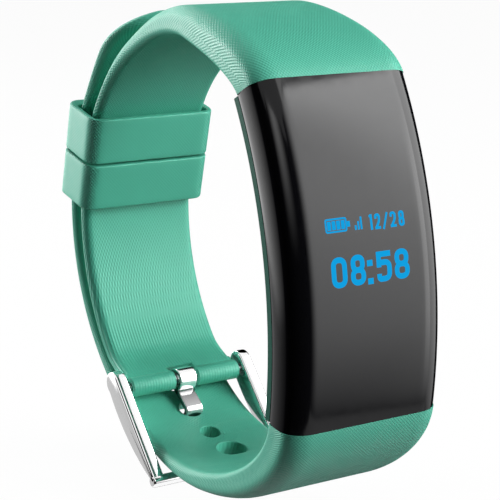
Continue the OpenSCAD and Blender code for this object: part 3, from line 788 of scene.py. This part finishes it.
def displaySigns():
    g, c = glyphs, battery
    time = numerals(g["time"], g["timeBase"], g["timeHigh"], g["timeStroke"])
    for z in g["colonZ"]:
        time += stroke([(x, z) for x in g["colonX"]], g["colonStroke"])
    date = numerals(g["date"], g["dateBase"], g["dateHigh"], g["dateStroke"])
    (left, right), (low, high) = c["x"], c["z"]
    cell = ringStroke([(left, low), (right, low), (right, high), (left, high)], c["round"], c["stroke"])
    for x in c["barX"]:
        cell += stroke([(x, z) for z in c["barZ"]], c["barStroke"])
    cell += stroke([(x, c["knobZ"]) for x in c["knobX"]], c["knobStroke"])
    bars = []
    for x, h in signal["bars"]:
        bars += stroke([(x, signal["base"]), (x, signal["base"] + h)], signal["stroke"])
    pieces = dict(displayTime=time, displayDate=date, displayBattery=cell, displaySignal=bars)
    for name, patches in pieces.items():
        makePiece(name, patches, displayGlow, "band")


displaySigns()
print("display done")


# buckle: two arms with rounded edges, a far bar and a bent tang, all about the spring bar

buckle = dict(turn=225.5, length=13.1, armIn=8.45, armT=1.6, edge=0.3, farR=0.75, farZ=-0.05, lip=0.25,
              headY=-1.0, headZ=0.1, headR=1.5, headRows=14, armEnd=13.45, armRows=70, bowR=26.0, bowTop=1.85,
              bowY=3.6, footZ=-1.42, footSlope=2.8)


def inBuckle(x, y, z):
    # y runs from the spring bar along the frame, z away from the wrist
    c, s = math.cos(math.radians(buckle["turn"])), math.sin(math.radians(buckle["turn"]))
    x, y, z = np.broadcast_arrays(x, y, z)
    return np.stack([x, bar[0] + y * c - z * s, bar[1] + y * s + z * c], -1)


def armOutline():
    # upper edge an arc of radius bowR, lower edge a slight slope, and a round head behind the spring bar
    s = buckle
    y = s["headY"] - s["headR"] * np.cos(quarter(s["headRows"]))
    y = join(y[:-1], np.linspace(s["headY"], s["armEnd"], s["armRows"]))
    past = y - s["headY"]
    head = np.sqrt(np.clip(s["headR"] ** 2 - past ** 2, 0, None))
    arc = s["bowTop"] - s["bowR"] + np.sqrt(s["bowR"] ** 2 - (y - s["bowY"]) ** 2)
    slope = s["footZ"] + past * math.tan(math.radians(s["footSlope"]))
    top, low = s["headZ"] + head, s["headZ"] - head
    inHead = abs(past) <= s["headR"]
    top = np.where(past >= 0, np.maximum(arc, np.where(inHead, top, -np.inf)), top)
    low = np.where(past >= 0, np.minimum(slope, np.where(inHead, low, np.inf)), low)
    return join(np.stack([y, top], 1), np.stack([y, low], 1)[:0:-1])


def roundedEnds(x0, x1, r):
    # stations from x0 to x1 with ends of round r, and how far each is pulled in
    q = quarter()
    x = join(x0 + r * (1 - np.cos(q)), x1 - r + r * np.sin(q))
    return x, r * join(1 - np.sin(q), 1 - np.cos(q))


def plate(outline, x0, x1, edge):
    # flat plate over an outline, from x0 to x1,
    # its edges rounded by pulling rings in along the outline's normals
    inward = -leftOf(unit(np.roll(outline, -1, 0) - np.roll(outline, 1, 0)))
    x, pull = roundedEnds(x0, x1, edge)
    flat = outline[None] + inward[None] * pull[:, None, None]
    rings = inBuckle(x[:, None], flat[..., 0], flat[..., 1])
    return capped(rings, uvGrid(x, lengthAlong(shut(outline))))


def rod(y, z, r, x0, x1, lip, turns=40):
    # round rod along x with rounded ends
    x, pull = roundedEnds(x0, x1, lip)
    ring = (r - pull)[:, None]
    a = np.linspace(0, 2 * np.pi, turns, endpoint=False)
    return capped(inBuckle(x[:, None], y + ring * np.cos(a), z + ring * np.sin(a)))


def buckleFrame():
    s = buckle
    out = s["armIn"] + s["armT"]
    outline = armOutline()
    patches = plate(outline, -out, -s["armIn"], s["edge"]) + plate(outline, s["armIn"], out, s["edge"])
    patches += rod(s["length"], s["farZ"], s["farR"], -out, out, s["lip"])
    makePiece("buckleFrameSkin", patches, polished, "buckle", ["buckle_frame"])


tang = dict(w=2.4, t=0.75, run=1.105, edge=0.12, bendIn=(4.45, 0.42), bendOut=(4.85, 3.3), tip=(14.1, 1.15),
            curlFrom=402.0, curlTo=81.0, curlRows=46, bendRound=0.7, bendSteps=12)


def tangSkin():
    # a strip with rounded edges: round the spring bar, along, out through the strap and on to the far bar
    s = tang
    curl = polar(s["run"], np.linspace(s["curlFrom"], s["curlTo"], s["curlRows"]))
    corners = [tuple(curl[-1]), s["bendIn"], s["bendOut"], s["tip"]]
    run = softLine(corners, s["bendRound"], steps=s["bendSteps"])
    path = join(curl, run[1:])
    side = leftOf(unit(np.gradient(path, axis=0)))
    loop = roundedLoop(s["w"], s["t"], s["edge"], corner=5, long=12, short=4)
    flat = path[:, None] + side[:, None] * loop[None, :, 1:]
    rings = inBuckle(loop[None, :, 0], flat[..., 0], flat[..., 1])
    patches = capped(rings, uvGrid(lengthAlong(path), lengthAlong(shut(loop))))
    makePiece("tangSkin", patches, tangSteel, "tang", ["buckle_tang"])


buckleFrame()
tangSkin()
print("buckle done")


# spring inside the spring bar: one coil in two halves, each pressed together by its own tip

spring = dict(r=0.37, wire=0.07, turns=14, end=6.0, gap=0.01, turnRows=20, wireRows=10)


def springHalf(name, side, nodes=()):
    # a helix about the spring bar: x = reach t and turn = 2 pi turns t, from the middle to one tip
    s = spring
    t = np.linspace(0, 1, s["turns"] * s["turnRows"] + 1)[:, None]
    reach = s["end"] - s["wire"] - s["gap"]
    turn = side * 2 * np.pi * s["turns"] * t
    out = join(0 * t, np.cos(turn), np.sin(turn), axis=1)
    middle = join(side * reach * t, 0 * t + bar[0], 0 * t + bar[1], axis=1) + s["r"] * out
    across = unit(np.cross(unit(np.gradient(middle, axis=0)), out))
    q = np.linspace(0, 2 * np.pi, s["wireRows"], endpoint=False)[None, :, None]
    rings = middle[:, None] + s["wire"] * (np.cos(q) * out[:, None] + np.sin(q) * across[:, None])
    half = makePiece(name, capped(rings), turned, None, nodes)
    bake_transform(half)


springHalf("springNear", -1, ["bar_spring"])
springHalf("springFar", 1)
print("spring done")


# finishes of the solids that stay as they are:
# name, dark and light tone, roughness from and to, the rest, and the solids that have it

solidLooks = [
    ("shellGreen", (0.016, 0.085, 0.060), (0.020, 0.100, 0.072), (0.42, 0.55),
     dict(scale=700, grain=0.01, specular=0.05), ["rear_shell"]),
    ("windowBlack", (0.008, 0.008, 0.01), (0.012, 0.012, 0.014), (0.06, 0.12),
     dict(scale=400), ["sensor_window", "display_panel"]),
    ("contactGold", (0.72, 0.48, 0.16), (0.80, 0.56, 0.22), (0.18, 0.28),
     dict(metallic=1.0, scale=1200), ["charging_contacts", "touch_pad", "antenna_strip", "battery_leads"]),
    ("sealBlack", (0.015, 0.015, 0.015), (0.022, 0.022, 0.022), (0.6, 0.75),
     dict(scale=1500), ["case_seals", "battery_tape", "motor_boot"]),
    ("boardGreen", (0.015, 0.075, 0.03), (0.022, 0.10, 0.045), (0.35, 0.5),
     dict(scale=1100), ["main_board", "sensor_board"]),
    ("chipBlack", (0.016, 0.016, 0.017), (0.024, 0.024, 0.025), (0.45, 0.6),
     dict(scale=2500, grain=0.01), ["processor_chip", "radio_chip", "motion_sensor", "photodiode"]),
    ("flexAmber", (0.30, 0.13, 0.02), (0.38, 0.18, 0.035), (0.3, 0.45),
     dict(scale=900), ["display_flex"]),
    ("framePlastic", (0.035, 0.035, 0.04), (0.045, 0.045, 0.05), (0.5, 0.62),
     dict(scale=1300, grain=0.01), ["inner_frame"]),
    ("cellFoil", (0.55, 0.56, 0.58), (0.64, 0.65, 0.68), (0.3, 0.45),
     dict(metallic=1.0, scale=800), ["battery_cell"]),
    ("ceramic", (0.36, 0.26, 0.15), (0.44, 0.33, 0.2), (0.4, 0.55),
     dict(scale=3000), ["board_passives"]),
    ("ivoryPlastic", (0.66, 0.64, 0.56), (0.72, 0.70, 0.62), (0.4, 0.5),
     dict(scale=2000), ["board_connector"]),
    ("clearPad", (0.04, 0.04, 0.05), (0.06, 0.06, 0.07), (0.15, 0.25),
     dict(scale=600), ["optical_pad"]),
    ("lampGreen", (0.42, 0.72, 0.42), (0.52, 0.82, 0.52), (0.2, 0.3),
     dict(scale=2000), ["sensor_leds"]),
    ("heavyGrey", (0.26, 0.26, 0.28), (0.33, 0.33, 0.35), (0.35, 0.5),
     dict(metallic=1.0, scale=1800), ["motor_weight"])]


def finishSolids(finish, nodes):
    for node in nodes:
        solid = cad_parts[node].data
        solid.materials.clear()
        solid.materials.append(finish)


finishSolids(turned, ["motor_can", "bar_tube", "bar_tip_near", "bar_tip_far"])
for name, dark, light, rough, rest, nodes in solidLooks:
    finishSolids(plainFinish(name, dark, light, rough, **rest), nodes)
print("solids finished")


# studio: pale floor, white surround, soft lamps and the camera

studio = dict(floorZ=-0.0325, floorSize=6.0, worldFill=0.06, floorWhite=0.965, floorSeen=0.9,
              floorBounce=0.07, cardRise=0.65)
white = (1, 1, 1, 1)


def pathRays(tree):
    # 1 for rays from the camera, from gloss and through glass
    rays = addNode(tree, "ShaderNodeLightPath")
    seen = math2(tree, "MAXIMUM", rays.outputs["Is Camera Ray"], rays.outputs["Is Glossy Ray"])
    return math2(tree, "MAXIMUM", seen, rays.outputs["Is Transmission Ray"])


def bareMaterial(name):
    material, tree, _ = newMaterial(name)
    tree.nodes.clear()
    return material, tree


def paleFloor():
    s = studio["floorSize"] / 2
    mesh = bpy.data.meshes.new("floor")
    mesh.from_pydata([(-s, -s, 0), (s, -s, 0), (s, s, 0), (-s, s, 0)], [], [(0, 1, 2, 3)])
    mesh.transform(Matrix.Translation((0, 0, studio["floorZ"])))
    material, tree = bareMaterial("paleFloor")
    seen = pathRays(tree)
    tone = mapRange(tree, seen, 0.0, 1.0, studio["floorBounce"], studio["floorSeen"])
    matt = addNode(tree, "ShaderNodeBsdfDiffuse", {"Color": tone})
    glow = addNode(tree, "ShaderNodeEmission", {"Color": white, "Strength": 1.0})
    share = times(tree, seen, studio["floorWhite"])
    both = addNode(tree, "ShaderNodeMixShader", {0: share, 1: matt.outputs[0], 2: glow.outputs[0]})
    addNode(tree, "ShaderNodeOutputMaterial", {"Surface": both.outputs[0]})
    mesh.materials.append(material)
    floor = addThing("floor", mesh)
    floor.visible_glossy = False  # gloss sees the white surround instead


def whiteWorld():
    # full white where it is seen, and a weak fill for the rest
    world = bpy.data.worlds.new("studioWorld")
    bpy.context.scene.world = world
    world.use_nodes = True
    tree = world.node_tree
    level = mapRange(tree, pathRays(tree), 0.0, 1.0, studio["worldFill"], 1.0)
    setInputs(tree, tree.nodes["Background"], {"Color": white, "Strength": level})


def softLamp(name, at, size, power, glossy):
    # a rectangle of light that faces the middle of the band
    lamp = bpy.data.lights.new(name, "AREA")
    lamp.shape = "RECTANGLE"
    lamp.size, lamp.size_y = size
    lamp.energy = power
    thing = addThing(name, lamp)
    thing.location = at
    thing.rotation_euler = (Vector() - Vector(at)).to_track_quat("-Z", "Y").to_euler()
    thing.visible_glossy = glossy


def upright(turn, far, width, low, high):
    # corners of an upright card that faces the object; turn is counted in degrees from -Y towards -X
    out = Vector((-math.sin(math.radians(turn)), -math.cos(math.radians(turn)), 0))
    across = Vector((-out.y, out.x, 0)) * width / 2
    corners = [(low, -1), (low, 1), (high, 1), (high, -1)]
    return [out * far + across * side + Vector((0, 0, z)) for z, side in corners]


def card(name, corners, shine):
    # a card that is only seen in gloss; shine gives its brightness, or a rule for it from u across and v up
    mesh = bpy.data.meshes.new(name)
    mesh.from_pydata(corners, [], [(0, 1, 2, 3)])
    mesh.uv_layers.new(name="UVMap").data.foreach_set("uv", [0, 0, 1, 0, 1, 1, 0, 1])
    material, tree = bareMaterial(name)
    strength = shine(tree, *uvParts(tree)) if callable(shine) else shine
    glow = addNode(tree, "ShaderNodeEmission", {"Color": white, "Strength": strength})
    addNode(tree, "ShaderNodeOutputMaterial", {"Surface": glow.outputs[0]})
    mesh.materials.append(material)
    thing = addThing(name, mesh)
    thing.visible_camera = thing.visible_diffuse = thing.visible_shadow = False


# the cards' ramps over u or v: from, to, and the brightness there
shines = dict(frontFade=(0.06, 0.57), frontHead=(0.57, 0.70, 6.6, 11.5), frontMore=(0.08, 0.3, 1.0, 1.25),
              frontLess=(0.55, 0.9, 0.0, 0.28), stripLeft=(0.0, 0.5), stripRight=(1.0, 0.5),
              stripUp=(0.3, 1.0, 0.0, 4.2), edgeRight=(1.0, 0.4, 0.0, 2.2), edgeLeft=(0.4, 0.0, 0.0, 1.2),
              edgeUp=(0.51, 0.565, 0.25, 1.05), rightHead=(1.0, 0.0, 5.5, 8.5))


def shineRamp(tree, value, part):
    return ramp(tree, value, *shines[part])


def footRise(tree, v):
    return math2(tree, "POWER", v, studio["cardRise"])


def frontShine(tree, u, v):
    # fades in from the left, brighter on the right,
    # and rises from the foot as v to the power cardRise, fuller half way up
    head = shineRamp(tree, u, "frontHead")
    fuller = math2(tree, "SUBTRACT", shineRamp(tree, v, "frontMore"), shineRamp(tree, v, "frontLess"))
    rise = times(tree, footRise(tree, v), fuller)
    return times(tree, times(tree, rise, head), shineRamp(tree, u, "frontFade"))


def stripShine(tree, u, v):
    # soft at both sides, brighter upwards
    side = times(tree, shineRamp(tree, u, "stripLeft"), shineRamp(tree, u, "stripRight"))
    return times(tree, side, shineRamp(tree, v, "stripUp"))


def edgeShine(tree, u, v):
    # darker to one side and below
    side = math2(tree, "ADD", shineRamp(tree, u, "edgeRight"), shineRamp(tree, u, "edgeLeft"))
    return times(tree, side, shineRamp(tree, v, "edgeUp"))


def rightShine(tree, u, v):
    # brighter towards the front, and rises from the foot as the front card does
    return times(tree, footRise(tree, v), shineRamp(tree, u, "rightHead"))


# placed from the photo's own perspective: 33 degrees to the left, 12 degrees above
view = dict(lens=119.02, sensor=36.0, clip=(0.01, 20), at=(-0.10439, -0.16194, 0.04054),
            right=(0.8388, -0.5445, 0.0), up=(0.1141, 0.1758, 0.9779), back=(-0.5324, -0.8202, 0.2096))


def photoCamera():
    camera = bpy.data.cameras.new("photoCamera")
    camera.lens, camera.sensor_width, camera.sensor_fit = view["lens"], view["sensor"], "HORIZONTAL"
    camera.clip_start, camera.clip_end = view["clip"]
    thing = addThing("photoCamera", camera)
    turn = Matrix((view["right"], view["up"], view["back"])).transposed().to_4x4()
    thing.matrix_world = Matrix.Translation(view["at"]) @ turn
    bpy.context.scene.camera = thing


# name, place, size, power, and whether gloss shows it
lamps = [("leftLamp", (-0.30, 0.45, 0.12), (0.26, 0.32), 4.2, True),
         ("topLamp", (0.0, 0.0, 0.52), (0.14, 0.14), 0.85, False),
         ("frontLamp", (0.36, -0.39, 0.20), (0.30, 0.34), 3.8, False)]
# name, turn, distance, width, foot and top of each card, and its brightness
cards = [("frontCard", (-33, 0.51, 0.46, -0.27, 0.40), frontShine),
         ("highCard", (-50, 0.50, 0.50, 0.42, 0.60), 4.0),
         ("rightCard", (-74, 0.50, 0.31, -0.27, 0.40), rightShine),
         ("darkCardRight", (-121, 0.50, 0.58, -0.35, 0.40), 0.0),
         ("stripCard", (24, 0.45, 0.38, -0.10, 0.34), stripShine),
         ("darkCardFront", (22, 0.52, 0.80, -0.35, 0.36), 0.0),
         ("darkCardLeft", (82, 0.50, 0.62, -0.35, 0.36), 0.0),
         ("edgeCard", (145, 0.50, 0.74, -0.35, 0.06), edgeShine),
         ("rimCard", (176, 0.50, 0.40, 0.20, 0.55), 4.5),
         ("darkCardTop", (222, 0.50, 0.55, 0.15, 0.80), 0.0),
         ("darkCardLow", (215, 0.50, 0.60, -0.60, -0.24), 0.0)]
paleFloor()
whiteWorld()
for lamp in lamps:
    softLamp(*lamp)
for name, place, shine in cards:
    card(name, upright(*place), shine)
photoCamera()
bpy.context.scene.view_settings.view_transform = "Standard"
print("studio done")
